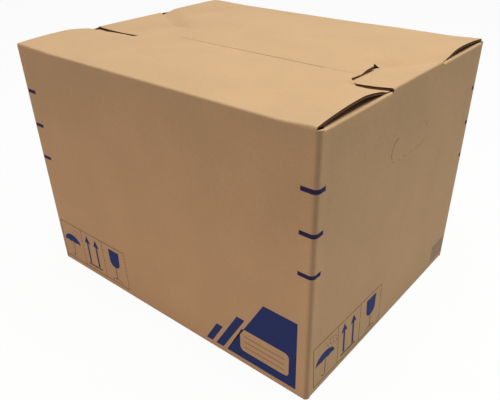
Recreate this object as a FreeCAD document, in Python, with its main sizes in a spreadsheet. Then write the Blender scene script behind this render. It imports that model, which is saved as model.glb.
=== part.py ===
# Closed corrugated carton folded from one blank, with tongues that tuck under its long top flaps.
# Frame: the origin is the middle of the bottom, +X runs along the long side to the right,
# +Y runs from the front to the back, +Z is up. Sizes are in millimetres.

import FreeCAD, Part
import math
import os

import Sketcher

os.makedirs("parts", exist_ok=True)
doc = FreeCAD.newDocument("Carton")

# Driving dimensions
SIZES = [
    # The folded carton over its outer faces
    ("length", 500.0),
    ("width", 399.0),
    ("height", 356.5),
    # Single-wall corrugated board and its creases, measured on the outside of the bend
    ("board", 3.0),
    ("corner_radius", 5.0),
    ("fold_radius", 4.0),
    ("sheet_gap", 0.3),
    # Long flaps: their ends stand back from the end panels, and the back one laps over the front one
    ("flap_inset", 5.5),
    ("seam_from_front", 163.0),
    ("lap_depth", 38.0),
    ("lap_taper", 20.0),
    # How far the long flaps bow up: along their middle, and at each end over the wings
    ("front_crown", 3.0),
    ("front_crown_left", 3.5),
    ("front_crown_right", 8.0),
    ("back_crown", 1.5),
    ("back_crown_left", 4.0),
    ("back_crown_right", 6.0),
    ("front_bow_reach", 131.0),
    ("back_bow_reach", 126.0),
    ("end_zone_left", 88.0),
    ("end_zone_right", 46.0),
    ("tongue_press", 3.5),
    # Tongues: root on the end panel's crease, slot line where they dive under, hidden tip
    ("tongue_from_front", 138.0),
    ("tongue_root", 133.0),
    ("tongue_neck", 66.0),
    ("tongue_tip_length", 44.0),
    ("tongue_tip_taper", 10.0),
    ("slot_left", 96.5),
    ("slot_right", 54.0),
    ("slot_end", 6.0),
    ("notch_under_tongue", 5.0),
    ("tongue_rise_left", 0.0),
    ("tongue_rise_right", 1.5),
    # Wings: the two outer parts of each short flap, under the long flaps
    ("wing_from_corner", 7.0),
    ("wing_slit", 11.0),
    ("wing_edge_cut", 7.0),
    ("wing_inner_cut", 12.0),
    ("wing_depth", 150.0),
    ("wing_taper", 25.0),
    ("wing_slope", 7.0),
    ("wing_drop_left", 2.5),
    ("wing_drop_right", 1.0),
    # Bottom flaps
    ("bottom_seam_gap", 1.0),
    ("bottom_short_reach", 199.0),
    # Glue tab inside the rear left corner
    ("tab_width", 35.0),
    ("glue_film", 0.2),
    ("glue_margin", 6.0),
    ("joint_step", 0.8),
    # Hand hole flap, die-cut in both end panels and still closed
    ("hand_width", 97.0),
    ("hand_height", 31.0),
    ("hand_bottom", 262.0),
    ("hand_from_front", 153.0),
    ("kerf", 0.7),
    ("nick", 4.0),
]

sheet = doc.addObject("Spreadsheet::Sheet", "Sizes")
for row, (alias, value) in enumerate(SIZES, start=1):
    sheet.set("A%d" % row, alias)
    sheet.set("B%d" % row, str(value))
    sheet.setAlias("B%d" % row, alias)
doc.recompute()


def size(alias):
    return float(getattr(sheet, alias))


UP = FreeCAD.Vector(0, 0, 1)
OUTWARD = {
    "front": FreeCAD.Vector(0, -1, 0),
    "back": FreeCAD.Vector(0, 1, 0),
    "left": FreeCAD.Vector(-1, 0, 0),
    "right": FreeCAD.Vector(1, 0, 0),
}


# Helpers: every size below is an expression of the sheet's cells
def bind(obj, **expressions):
    for name, expression in expressions.items():
        obj.setExpression(name.replace("__", "."), expression)
    return obj


def place(obj, x, y, z):
    return bind(obj, Placement__Base__x=x, Placement__Base__y=y, Placement__Base__z=z)


def block(name, length, width, height, x, y, z):
    """Rectangular block with its lowest corner at x, y, z."""
    box = doc.addObject("Part::Box", name)
    bind(box, Length=length, Width=width, Height=height)
    return place(box, x, y, z)


def outline_sketch(sketch, corners):
    """Closed outline of straight edges whose corners are pairs of expressions."""
    count = len(corners)
    ring = [
        FreeCAD.Vector(math.cos(2 * math.pi * i / count), math.sin(2 * math.pi * i / count), 0) * 100
        for i in range(count)
    ]
    for i in range(count):
        sketch.addGeometry(Part.LineSegment(ring[i], ring[(i + 1) % count]), False)
    for i in range(count):
        sketch.addConstraint(Sketcher.Constraint("Coincident", i, 2, (i + 1) % count, 1))
    for i, (x, y) in enumerate(corners):
        across = sketch.addConstraint(Sketcher.Constraint("DistanceX", i, 1, ring[i].x))
        along = sketch.addConstraint(Sketcher.Constraint("DistanceY", i, 1, ring[i].y))
        sketch.setExpression("Constraints[%d]" % across, x)
        sketch.setExpression("Constraints[%d]" % along, y)
    return sketch


def prism(name, corners, bottom, height):
    """Straight extrusion of an outline drawn in plan."""
    sketch = outline_sketch(doc.addObject("Sketcher::SketchObject", name + "_outline"), corners)
    bind(sketch, Placement__Base__z=bottom)
    pull = doc.addObject("Part::Extrusion", name)
    pull.Base = sketch
    pull.DirMode = "Custom"
    pull.Dir = UP
    pull.Solid = True
    return bind(pull, LengthFwd=height)


def cut(name, base, tool):
    result = doc.addObject("Part::Cut", name)
    result.Base = base
    result.Tool = tool
    return result


def join(name, shapes):
    result = doc.addObject("Part::MultiFuse", name)
    result.Shapes = shapes
    return result


def crease(name, side, up, length, x, y, z):
    """Quarter-round bend of the board along a hinge; x, y, z is the middle of the bend's axis."""
    outward = OUTWARD[side]
    start = UP if up else UP * -1
    axis = start.cross(outward)
    turn = FreeCAD.Rotation(start, outward, axis, "ZXY")
    rounds = []
    for label, radius in (("outer", "Sizes.fold_radius"), ("inner", "Sizes.fold_radius - Sizes.board")):
        rod = doc.addObject("Part::Cylinder", "%s_%s" % (name, label))
        rod.Angle = 90
        rod.Placement = FreeCAD.Placement(FreeCAD.Vector(), turn)
        bind(rod, Radius=radius, Height=length)
        half = "(%s) / 2" % length
        place(
            rod,
            "%s - (%g) * %s" % (x, axis.x, half),
            "%s - (%g) * %s" % (y, axis.y, half),
            z,
        )
        rounds.append(rod)
    return cut(name, rounds[0], rounds[1])


def smooth(value):
    """Soft step from 0 to 1."""
    value = min(max(value, 0.0), 1.0)
    return value * value * (3.0 - 2.0 * value)


def bent_sheet(name, rise, left, right, front, back):
    """Board that follows rise(from_left, from_front), the height of its top over the carton's top crease."""
    across, along = 18, 18
    rows = []
    for i in range(across + 1):
        from_left = left + (right - left) * (1 - math.cos(math.pi * i / across)) / 2
        row = []
        for j in range(along + 1):
            from_front = front + (back - front) * j / along
            row.append(
                FreeCAD.Vector(
                    from_left - size("length") / 2,
                    from_front - size("width") / 2,
                    size("height") + rise(from_left, from_front),
                )
            )
        rows.append(row)
    surface = Part.BSplineSurface()
    surface.interpolate(rows)
    feature = doc.addObject("Part::Feature", name)
    feature.Shape = surface.toShape().extrude(UP * -size("board"))
    return feature


def trimmed(name, sheet_feature, corners):
    """Bent sheet cut to the outline of a flap."""
    form = prism(name + "_die", corners, "Sizes.height - Sizes.height / 3", "Sizes.height / 2")
    common = doc.addObject("Part::MultiCommon", name)
    common.Shapes = [sheet_feature, form]
    return common


def from_left(distance):
    return "(%s) - Sizes.length / 2" % distance


def from_right(distance):
    return "Sizes.length / 2 - (%s)" % distance


def from_front(distance):
    return "(%s) - Sizes.width / 2" % distance


def from_back(distance):
    return "Sizes.width / 2 - (%s)" % distance


def plan_point(side, inward, along_front):
    """Point on a short flap: its distance in from the end panel's face and back from the front face."""
    start = from_right(inward) if side == "right" else from_left(inward)
    return (start, from_front(along_front))


# Wall sleeve: one strip of board that turns four corners and ends in the glue tab
sleeve = doc.addObject("PartDesign::Body", "wall_sleeve")
plan_plane = [plane for plane in sleeve.Origin.OriginFeatures if plane.Role == "XY_Plane"][0]
strip = sleeve.newObject("Sketcher::SketchObject", "wall_strip")
strip.AttachmentSupport = [(plan_plane, "")]
strip.MapMode = "FlatFace"
TAB_FACE = "Sizes.board + Sizes.glue_film"
outline_sketch(
    strip,
    [
        (from_left("Sizes.joint_step"), from_back("0")),
        (from_right("0"), from_back("0")),
        (from_right("0"), from_front("0")),
        (from_left("0"), from_front("0")),
        (from_left("0"), from_back(TAB_FACE)),
        (from_left("Sizes.tab_width"), from_back(TAB_FACE)),
        (from_left("Sizes.tab_width"), from_back(TAB_FACE + " + Sizes.board")),
        (from_left("Sizes.board"), from_back(TAB_FACE + " + Sizes.board")),
        (from_left("Sizes.board"), from_front("Sizes.board")),
        (from_right("Sizes.board"), from_front("Sizes.board")),
        (from_right("Sizes.board"), from_back("Sizes.board")),
        (from_left("Sizes.joint_step"), from_back("Sizes.board")),
    ],
)
walls = sleeve.newObject("PartDesign::Pad", "walls")
walls.Profile = strip
bind(walls, Length="Sizes.height - 2 * Sizes.fold_radius")
bind(sleeve, Placement__Base__z="Sizes.fold_radius")
doc.recompute()


def corner_edges(shape, corners):
    """Names of the upright edges that stand on the given plan points."""
    names = []
    for index, edge in enumerate(shape.Edges, start=1):
        low, high = edge.Vertexes[0].Point, edge.Vertexes[-1].Point
        upright = abs(low.x - high.x) < 0.001 and abs(low.y - high.y) < 0.001
        if upright and any(math.hypot(low.x - x, low.y - y) < 0.01 for x, y in corners):
            names.append("Edge%d" % index)
    return names


half_length, half_width = size("length") / 2, size("width") / 2
tab_face = half_width - size("board") - size("glue_film")
outer_corners = [
    (half_length, half_width),
    (half_length, -half_width),
    (-half_length, -half_width),
    (-half_length, tab_face),
]
inner_corners = [
    (half_length - size("board"), half_width - size("board")),
    (half_length - size("board"), -half_width + size("board")),
    (-half_length + size("board"), -half_width + size("board")),
    (-half_length + size("board"), tab_face - size("board")),
]
outer_creases = sleeve.newObject("PartDesign::Fillet", "outer_creases")
outer_creases.Base = (walls, corner_edges(walls.Shape, outer_corners))
bind(outer_creases, Radius="Sizes.corner_radius")
doc.recompute()
inner_creases = sleeve.newObject("PartDesign::Fillet", "inner_creases")
inner_creases.Base = (outer_creases, corner_edges(outer_creases.Shape, inner_corners))
bind(inner_creases, Radius="Sizes.corner_radius - Sizes.board")
sleeve.Tip = inner_creases
doc.recompute()

glue = block(
    "glue_line",
    "Sizes.tab_width - Sizes.corner_radius - 2 * Sizes.glue_margin",
    "Sizes.glue_film",
    "Sizes.height - 2 * Sizes.fold_radius - 2 * Sizes.glue_margin",
    from_left("Sizes.corner_radius + Sizes.glue_margin"),
    from_back(TAB_FACE),
    "Sizes.fold_radius + Sizes.glue_margin",
)

# The end panels stop lower at the wings' creases, and higher over the bottom flaps
END_SPAN = "Sizes.width - 2 * Sizes.corner_radius"
SHORT_LEVEL = "Sizes.board + Sizes.sheet_gap"
wall_trims = []
for side in ("left", "right"):
    start = "-Sizes.length / 2" if side == "left" else "Sizes.length / 2 - Sizes.board"
    drop = "Sizes.wing_drop_" + side
    wall_trims.append(
        block(
            "wing_trim_" + side, "Sizes.board", END_SPAN, drop,
            start, from_front("Sizes.corner_radius"), "Sizes.height - Sizes.fold_radius - " + drop,
        )
    )
    wall_trims.append(
        block(
            "bottom_trim_" + side, "Sizes.board", END_SPAN, SHORT_LEVEL,
            start, from_front("Sizes.corner_radius"), "Sizes.fold_radius",
        )
    )

# Hand hole flaps: a kerf along the bottom and both round ends, with uncut nicks and an uncut top
hand_cuts = []
for side in ("left", "right"):
    start = "-Sizes.length / 2 - Sizes.board" if side == "left" else "Sizes.length / 2 - 2 * Sizes.board"
    shells = []
    for label, shrink in (("outside", "0"), ("inside", "Sizes.kerf")):
        radius = "Sizes.hand_height / 2 - " + shrink
        middle_z = "Sizes.hand_bottom + Sizes.hand_height / 2"
        parts = [
            block(
                "hand_%s_%s_bar" % (side, label),
                "3 * Sizes.board",
                "Sizes.hand_width - Sizes.hand_height",
                "Sizes.hand_height - 2 * (%s)" % shrink,
                start,
                from_front("Sizes.hand_from_front + Sizes.hand_height / 2"),
                "Sizes.hand_bottom + " + shrink,
            )
        ]
        for end, along in (("near", "Sizes.hand_height / 2"), ("far", "Sizes.hand_width - Sizes.hand_height / 2")):
            rod = doc.addObject("Part::Cylinder", "hand_%s_%s_%s" % (side, label, end))
            rod.Placement = FreeCAD.Placement(FreeCAD.Vector(), FreeCAD.Rotation(FreeCAD.Vector(0, 1, 0), 90))
            bind(rod, Radius=radius, Height="3 * Sizes.board")
            place(rod, start, from_front("Sizes.hand_from_front + " + along), middle_z)
            parts.append(rod)
        shells.append(join("hand_%s_%s" % (side, label), parts))
    ring = cut("hand_ring_" + side, shells[0], shells[1])
    keepers = [
        block(
            "hand_top_" + side, "3 * Sizes.board", "Sizes.hand_width - Sizes.hand_height",
            "Sizes.hand_height / 2", start,
            from_front("Sizes.hand_from_front + Sizes.hand_height / 2"),
            "Sizes.hand_bottom + Sizes.hand_height / 2",
        )
    ]
    for end, along in (
        ("near", "Sizes.hand_height / 2 - Sizes.nick"),
        ("far", "Sizes.hand_width - Sizes.hand_height / 2"),
    ):
        keepers.append(
            block(
                "hand_nick_%s_%s" % (side, end), "3 * Sizes.board", "Sizes.nick", "Sizes.hand_height / 2",
                start, from_front("Sizes.hand_from_front + " + along), "Sizes.hand_bottom",
            )
        )
    hand_cuts.append(cut("hand_kerf_" + side, ring, join("hand_keepers_" + side, keepers)))

trimmed_walls = cut("trimmed_walls", sleeve, join("wall_cuts", wall_trims + hand_cuts))

# Bottom: two long flaps meet in the middle, over two short ones
LONG_FLAP = "Sizes.length - 2 * Sizes.flap_inset"
SHORT_FLAP = "Sizes.width - 2 * Sizes.board - 2 * Sizes.flap_inset"
bottom = []
for side, y in (("front", from_front("Sizes.fold_radius")), ("back", from_back("Sizes.fold_radius"))):
    bottom.append(crease("bottom_crease_" + side, side, False, LONG_FLAP, "0", y, "Sizes.fold_radius"))
    near_edge = y if side == "front" else "Sizes.bottom_seam_gap / 2"
    bottom.append(
        block(
            "bottom_flap_" + side, LONG_FLAP,
            "Sizes.width / 2 - Sizes.fold_radius - Sizes.bottom_seam_gap / 2", "Sizes.board",
            from_left("Sizes.flap_inset"), near_edge, "0",
        )
    )
for side, x in (("left", from_left("Sizes.fold_radius")), ("right", from_right("Sizes.fold_radius"))):
    bottom.append(
        crease(
            "bottom_crease_" + side, side, False, SHORT_FLAP, x, "0", SHORT_LEVEL + " + Sizes.fold_radius"
        )
    )
    near_edge = x if side == "left" else from_right("Sizes.bottom_short_reach")
    bottom.append(
        block(
            "bottom_flap_" + side, "Sizes.bottom_short_reach - Sizes.fold_radius", SHORT_FLAP, "Sizes.board",
            near_edge, "-(%s) / 2" % SHORT_FLAP, SHORT_LEVEL,
        )
    )

# Heights of the long top flaps over the top crease
LAP_LEVEL = size("board") + size("sheet_gap")


def bow(crown, part):
    """Shallow arch that is zero at part 0 and at part 1, and crown halfway."""
    return crown * 4.0 * part * (1.0 - part)


def end_share(from_left, side):
    """How far a place is in the zone at one end where the wing lifts the flap and the tongue presses it."""
    zone = size("end_zone_" + side)
    reach = size("flap_inset")
    inward = from_left - reach if side == "left" else size("length") - reach - from_left
    return smooth(1.0 - inward / zone)


def front_rise(from_left, from_front):
    fold, seam = size("fold_radius"), size("seam_from_front")
    middle = bow(size("front_crown"), (from_front - fold) / (seam - fold))
    height = middle
    for side in ("left", "right"):
        part = (from_front - fold) / (size("front_bow_reach") - fold)
        end = max(bow(size("front_crown_" + side), part), -size("tongue_press"))
        height += (end - middle) * end_share(from_left, side)
    return height


def back_rise(from_left, from_front):
    fold, seam = size("width") - size("fold_radius"), size("seam_from_front")
    part = (from_front - seam) / (fold - seam)
    middle = LAP_LEVEL * (1.0 - part) + bow(size("back_crown"), part)
    height = middle
    for side in ("left", "right"):
        part = (fold - from_front) / (size("back_bow_reach") - size("fold_radius"))
        end = max(bow(size("back_crown_" + side), part), -size("tongue_press"))
        height += (end - middle) * end_share(from_left, side)
    return height


# Long top flaps. The notches at their ends take the tongues.
SPARE = 1.0
TONGUE_FRONT = "Sizes.tongue_from_front"
TONGUE_BACK = "Sizes.tongue_from_front + Sizes.tongue_root"
NECK_BACK = "Sizes.tongue_from_front + Sizes.tongue_neck"
NOTCH_FRONT = TONGUE_FRONT + " - Sizes.sheet_gap"
LAP_LEFT = "Sizes.slot_left + Sizes.tongue_tip_length + Sizes.lap_taper"
LAP_RIGHT = "Sizes.slot_right + Sizes.tongue_tip_length + Sizes.lap_taper"

front_flap = trimmed(
    "top_flap_front",
    bent_sheet(
        "front_bend", front_rise,
        size("flap_inset") - SPARE, size("length") - size("flap_inset") + SPARE,
        size("fold_radius"), size("seam_from_front") + size("lap_depth") + SPARE,
    ),
    [
        (from_left("Sizes.flap_inset"), from_front("Sizes.fold_radius")),
        (from_right("Sizes.flap_inset"), from_front("Sizes.fold_radius")),
        (from_right("Sizes.flap_inset"), from_front(NOTCH_FRONT)),
        (from_right("Sizes.slot_right"), from_front(NOTCH_FRONT)),
        (from_right("Sizes.slot_right"), from_front("Sizes.seam_from_front")),
        (from_right(LAP_RIGHT + " - Sizes.lap_taper / 2"), from_front("Sizes.seam_from_front")),
        (from_right(LAP_RIGHT), from_front("Sizes.seam_from_front + Sizes.lap_depth")),
        (from_left(LAP_LEFT), from_front("Sizes.seam_from_front + Sizes.lap_depth")),
        (from_left(LAP_LEFT + " - Sizes.lap_taper / 2"), from_front("Sizes.seam_from_front")),
        (from_left("Sizes.slot_left"), from_front("Sizes.seam_from_front")),
        (from_left("Sizes.slot_left"), from_front(NOTCH_FRONT)),
        (from_left("Sizes.flap_inset"), from_front(NOTCH_FRONT)),
    ],
)
back_flap = trimmed(
    "top_flap_back",
    bent_sheet(
        "back_bend", back_rise,
        size("flap_inset") - SPARE, size("length") - size("flap_inset") + SPARE,
        size("seam_from_front") - SPARE, size("width") - size("fold_radius"),
    ),
    [
        (from_left("Sizes.slot_left"), from_front("Sizes.seam_from_front")),
        (from_right("Sizes.slot_right"), from_front("Sizes.seam_from_front")),
        (from_right("Sizes.slot_right"), from_front(NECK_BACK)),
        (from_right("Sizes.slot_right - Sizes.slot_end"), from_front(NECK_BACK + " + Sizes.slot_end")),
        (from_right("Sizes.flap_inset"), from_front(TONGUE_BACK + " - Sizes.notch_under_tongue")),
        (from_right("Sizes.flap_inset"), from_back("Sizes.fold_radius")),
        (from_left("Sizes.flap_inset"), from_back("Sizes.fold_radius")),
        (from_left("Sizes.flap_inset"), from_front(TONGUE_BACK + " - Sizes.notch_under_tongue")),
        (from_left("Sizes.slot_left - Sizes.slot_end"), from_front(NECK_BACK + " + Sizes.slot_end")),
        (from_left("Sizes.slot_left"), from_front(NECK_BACK)),
    ],
)
top = [front_flap, back_flap]
for side, y in (("front", from_front("Sizes.fold_radius")), ("back", from_back("Sizes.fold_radius"))):
    top.append(
        crease("top_crease_" + side, side, True, LONG_FLAP, "0", y, "Sizes.height - Sizes.fold_radius")
    )

# Short top flaps: a tongue and two wings on each end panel
for side in ("left", "right"):
    hinge = from_left("Sizes.fold_radius") if side == "left" else from_right("Sizes.fold_radius")
    wall_face = "-Sizes.length / 2" if side == "left" else "Sizes.length / 2 - Sizes.board"
    rise = "Sizes.tongue_rise_" + side
    drop = "Sizes.wing_drop_" + side
    slot = "Sizes.slot_" + side
    tip = slot + " + Sizes.tongue_tip_length"

    def inward(place_from_left, end=side):
        """Distance in from the end panel's face."""
        return place_from_left if end == "left" else size("length") - place_from_left

    def tongue_rise(place_from_left, _, end=side):
        share = (inward(place_from_left, end) - size("fold_radius")) / (size("slot_" + end) - size("fold_radius"))
        start = size("tongue_rise_" + end)
        return start - (start + LAP_LEVEL + size("sheet_gap")) * smooth(share)

    def wing_rise(place_from_left, _, end=side):
        run = inward(place_from_left, end) - size("fold_radius")
        return -size("wing_drop_" + end) - run * math.tan(math.radians(size("wing_slope")))

    near, far = size("fold_radius"), size("slot_" + side) + size("tongue_tip_length") + SPARE
    reach = sorted((near, far) if side == "left" else (size("length") - near, size("length") - far))
    top.append(
        trimmed(
            "top_tongue_" + side,
            bent_sheet(
                "tongue_bend_" + side, tongue_rise, reach[0], reach[1],
                size("tongue_from_front") - SPARE,
                size("tongue_from_front") + size("tongue_root") + SPARE,
            ),
            [
                plan_point(side, "Sizes.fold_radius", TONGUE_FRONT),
                plan_point(side, slot, TONGUE_FRONT),
                plan_point(side, tip, TONGUE_FRONT + " + Sizes.tongue_tip_taper"),
                plan_point(side, tip, NECK_BACK + " - Sizes.tongue_tip_taper"),
                plan_point(side, slot, NECK_BACK + " - Sizes.sheet_gap"),
                plan_point(side, "Sizes.fold_radius", TONGUE_BACK),
            ],
        )
    )
    top.append(
        crease(
            "top_tongue_crease_" + side, side, True, "Sizes.tongue_root", hinge,
            from_front("Sizes.tongue_from_front + Sizes.tongue_root / 2"),
            "Sizes.height - Sizes.fold_radius + " + rise,
        )
    )
    top.append(
        block(
            "tongue_neck_wall_" + side, "Sizes.board", "Sizes.tongue_root", "%s + %s" % (rise, drop),
            wall_face, from_front(TONGUE_FRONT), "Sizes.height - Sizes.fold_radius - " + drop,
        )
    )
    wings = {
        "front": ("Sizes.wing_from_corner", TONGUE_FRONT + " - Sizes.wing_slit"),
        "back": (TONGUE_BACK + " + Sizes.wing_slit", "Sizes.width - Sizes.wing_from_corner"),
    }
    for end, (first, last) in wings.items():
        outer_cut, inner_cut = ("Sizes.wing_edge_cut", "Sizes.wing_inner_cut")
        cuts = (outer_cut, inner_cut) if end == "front" else (inner_cut, outer_cut)
        start, stop = "%s + %s" % (first, cuts[0]), "%s - %s" % (last, cuts[1])
        near, far = size("fold_radius"), size("wing_depth") + SPARE
        reach = sorted((near, far) if side == "left" else (size("length") - near, size("length") - far))
        top.append(
            trimmed(
                "top_wing_%s_%s" % (side, end),
                bent_sheet(
                    "wing_bend_%s_%s" % (side, end), wing_rise, reach[0], reach[1], 0.0, size("width")
                ),
                [
                    plan_point(side, "Sizes.fold_radius", start),
                    plan_point(side, "Sizes.wing_depth", start + " + Sizes.wing_taper"),
                    plan_point(side, "Sizes.wing_depth", stop),
                    plan_point(side, "Sizes.fold_radius", stop),
                ],
            )
        )
        top.append(
            crease(
                "top_wing_crease_%s_%s" % (side, end), side, True, "(%s) - (%s)" % (last, first), hinge,
                "((%s) + (%s)) / 2 - Sizes.width / 2" % (first, last),
                "Sizes.height - Sizes.fold_radius - " + drop,
            )
        )

carton = join("carton", [trimmed_walls, glue] + bottom + top)
carton.Label = "carton"
carton.Refine = True
doc.recompute()

# Every object must have been made, and the carton must be one sound solid
failed = [obj.Name for obj in doc.Objects if "Invalid" in obj.State or "Error" in obj.State]
if failed:
    raise RuntimeError("failed objects: " + ", ".join(failed))
if carton.Shape.isNull() or not carton.Shape.isValid():
    raise RuntimeError("the carton's shape is not valid")
print("solids", len(carton.Shape.Solids), "faces", len(carton.Shape.Faces))
print("volume in litres", round(carton.Shape.Volume / 1e6, 3))
print("box", carton.Shape.BoundBox)
carton.Shape.exportStep("parts/%s.step" % carton.Label)
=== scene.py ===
# %% [markdown]
# A closed carton, shown as folded board
#
# The real object is one sheet of corrugated board. It is cut flat, creased, glued into a sleeve
# and folded shut, so everything seen here is paper: smooth outer paper, wavy paper in the middle,
# smooth inner paper, and one dark blue ink. A box of six flat faces would be the quick way to
# make it. It would miss what the eye looks for in a carton: open flutes along the cut edges, soft
# bends instead of sharp corners, and flaps that never lie quite flat. So this scene draws each
# panel flat, as the die does, and then bends it into place.

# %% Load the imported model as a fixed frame
import math

import bmesh
import bpy
from mathutils import Matrix, Vector


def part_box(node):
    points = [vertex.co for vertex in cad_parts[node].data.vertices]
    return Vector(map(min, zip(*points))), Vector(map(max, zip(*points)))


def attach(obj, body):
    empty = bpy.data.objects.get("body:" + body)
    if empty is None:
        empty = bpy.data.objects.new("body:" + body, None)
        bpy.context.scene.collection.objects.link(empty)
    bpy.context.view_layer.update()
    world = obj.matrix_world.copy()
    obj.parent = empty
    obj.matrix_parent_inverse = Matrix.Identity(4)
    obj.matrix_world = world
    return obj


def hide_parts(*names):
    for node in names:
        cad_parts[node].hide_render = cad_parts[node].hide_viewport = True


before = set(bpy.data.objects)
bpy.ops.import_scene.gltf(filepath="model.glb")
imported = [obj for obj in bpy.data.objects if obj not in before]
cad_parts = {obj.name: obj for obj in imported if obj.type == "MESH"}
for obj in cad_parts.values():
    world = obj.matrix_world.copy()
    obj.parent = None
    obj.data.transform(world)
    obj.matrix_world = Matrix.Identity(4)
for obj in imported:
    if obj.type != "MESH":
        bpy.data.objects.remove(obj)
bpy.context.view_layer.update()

scene = bpy.context.scene
low_corner, high_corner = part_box("carton")

# %% [markdown]
# Sizes of the board
#
# Lengths below are in millimetres, because that is how board is drawn. `place` turns them into
# the scene's metres. `u` is measured from the left end of the box, `v` from its front and `z` from
# the floor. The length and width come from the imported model. A closed carton never ends exactly
# on its crease lines: the board springs open a little, so each panel stands a millimetre proud.
# The height of the top crease is its own number, because the flaps bulge above it.

# %% Sizes
MM = 0.001
SPRING = 1.0
LENGTH = (high_corner.x - low_corner.x) / MM + 2 * SPRING
WIDTH = (high_corner.y - low_corner.y) / MM + 2 * SPRING
HEIGHT = 356.5
BOARD = 3.0
PAPER = 0.4
CORNER_RADIUS = 6.0
FOLD_RADIUS = 2.4
FOLD_LENGTH = FOLD_RADIUS * math.pi / 2
FLUTE_PITCH = 4.6
SHEET_GAP = 0.3


def place(u, v, z):
    """Point in metres for a place on the carton in millimetres."""
    return Vector(((u - LENGTH / 2) * MM, (v - WIDTH / 2) * MM, z * MM))


print("carton", round(LENGTH, 1), "x", round(WIDTH, 1), "mm, top crease at", HEIGHT)

# %% [markdown]
# The camera
#
# The viewer stands in front of the right corner and looks down on the lid. Three angles and a
# place are enough to set a camera: how far round it stands, how far it looks down, and a small
# roll, because the picture was taken by hand. The small shift moves the frame and leaves the
# perspective alone.

# %% Camera
VIEW_PLACE = (0.49926, -0.58972, 0.54804)
VIEW_ROUND = 39.378
VIEW_DOWN = 32.460
VIEW_ROLL = -0.668
SENSOR_WIDTH = 36.0
LENS = 39.718
FRAME_SHIFT = (-0.0193, 0.0540)

camera_data = bpy.data.cameras.new("camera")
camera_data.sensor_width = SENSOR_WIDTH
camera_data.lens = LENS
camera_data.shift_x, camera_data.shift_y = FRAME_SHIFT
camera = bpy.data.objects.new("camera", camera_data)
scene.collection.objects.link(camera)
camera.matrix_world = (
    Matrix.Translation(VIEW_PLACE)
    @ Matrix.Rotation(math.radians(VIEW_ROUND), 4, "Z")
    @ Matrix.Rotation(math.radians(90 - VIEW_DOWN), 4, "X")
    @ Matrix.Rotation(math.radians(VIEW_ROLL), 4, "Z")
)
scene.camera = camera
print("camera at", tuple(round(value, 3) for value in camera.location))

# %% [markdown]
# Light and floor
#
# A carton photographed for a catalogue stands in a white tent: light falls from a wide panel
# overhead and comes back up from the pale floor. That makes the lid the brightest face and lets
# the sides grow a little lighter towards the floor. One large area lamp does the first part and
# the floor itself does the second, helped by two low panels, which is what makes the sides
# brighter near the floor than near the lid. The front one is warm, like the light that other
# boxes throw. The floor and the world look white to the camera and to reflections, yet the floor
# still takes some shading, so the box keeps its shadow.

# %% World
scene.view_settings.view_transform = "Standard"
WORLD_LEVEL = 0.17
WORLD_COLOUR = (0.96, 0.98, 1.0)


def new_tree(holder):
    """Empty node tree of a material or world, with a helper that adds nodes."""
    holder.use_nodes = True
    tree = holder.node_tree
    tree.nodes.clear()

    def add(kind, **values):
        node = tree.nodes.new(kind)
        for name, value in values.items():
            setattr(node, name, value)
        return node

    return tree, add


def seen_directly(tree, add):
    """1 for rays that reach the eye straight, by a mirror or through glass."""
    path = add("ShaderNodeLightPath")
    first = add("ShaderNodeMath", operation="MAXIMUM")
    both = add("ShaderNodeMath", operation="MAXIMUM")
    tree.links.new(path.outputs["Is Camera Ray"], first.inputs[0])
    tree.links.new(path.outputs["Is Glossy Ray"], first.inputs[1])
    tree.links.new(first.outputs[0], both.inputs[0])
    tree.links.new(path.outputs["Is Transmission Ray"], both.inputs[1])
    return both.outputs[0]


world = bpy.data.worlds.new("studio")
scene.world = world
tree, add = new_tree(world)
soft_light = add("ShaderNodeBackground")
soft_light.inputs["Color"].default_value = (*WORLD_COLOUR, 1)
soft_light.inputs["Strength"].default_value = WORLD_LEVEL
white = add("ShaderNodeBackground")
white.inputs["Color"].default_value = (1, 1, 1, 1)
white.inputs["Strength"].default_value = 1.0
choose = add("ShaderNodeMixShader")
world_out = add("ShaderNodeOutputWorld")
tree.links.new(seen_directly(tree, add), choose.inputs[0])
tree.links.new(soft_light.outputs[0], choose.inputs[1])
tree.links.new(white.outputs[0], choose.inputs[2])
tree.links.new(choose.outputs[0], world_out.inputs["Surface"])
print("world at", WORLD_LEVEL)

# %% Lamps
LAMP_PLACE = (0.36, 0.0, 2.2)
LAMP_SIZE = 1.8
LAMP_POWER = 41.0
LAMP_COLOUR = (1.0, 0.985, 0.96)

lamp_data = bpy.data.lights.new("overhead_panel", "AREA")
lamp_data.shape = "DISK"
lamp_data.size = LAMP_SIZE
lamp_data.energy = LAMP_POWER
lamp_data.color = LAMP_COLOUR
lamp = bpy.data.objects.new("overhead_panel", lamp_data)
scene.collection.objects.link(lamp)
lamp.location = LAMP_PLACE

# Low panels by the floor: name, power, width, colour, place and turn round the box
PANEL_HEIGHT = 0.08
LOW_PANELS = (
    ("low_front", 1.03, 1.2, (1.0, 0.68, 0.56), (-0.03, -0.72, 0.05), 0.0),
    ("low_right", 0.28, 0.7, (1.0, 0.95, 0.88), (0.70, 0.05, 0.05), 90.0),
)
for name, power, breadth, colour, spot, turn in LOW_PANELS:
    panel_data = bpy.data.lights.new(name, "AREA")
    panel_data.shape = "RECTANGLE"
    panel_data.size = breadth
    panel_data.size_y = PANEL_HEIGHT
    panel_data.energy = power
    panel_data.color = colour
    panel_lamp = bpy.data.objects.new(name, panel_data)
    panel_lamp.location = spot
    panel_lamp.rotation_euler = (math.radians(90), 0, math.radians(turn))
    panel_lamp.visible_camera = False
    scene.collection.objects.link(panel_lamp)
print("lamps", LAMP_POWER, "W overhead and", [panel[1] for panel in LOW_PANELS], "W low down")

# %% Floor
FLOOR_SIZE = 6.0
FLOOR_COLOUR = (0.54, 0.53, 0.52)
FLOOR_GLOW = 1.05
FLOOR_WHITE_SHARE = 0.9

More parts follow.
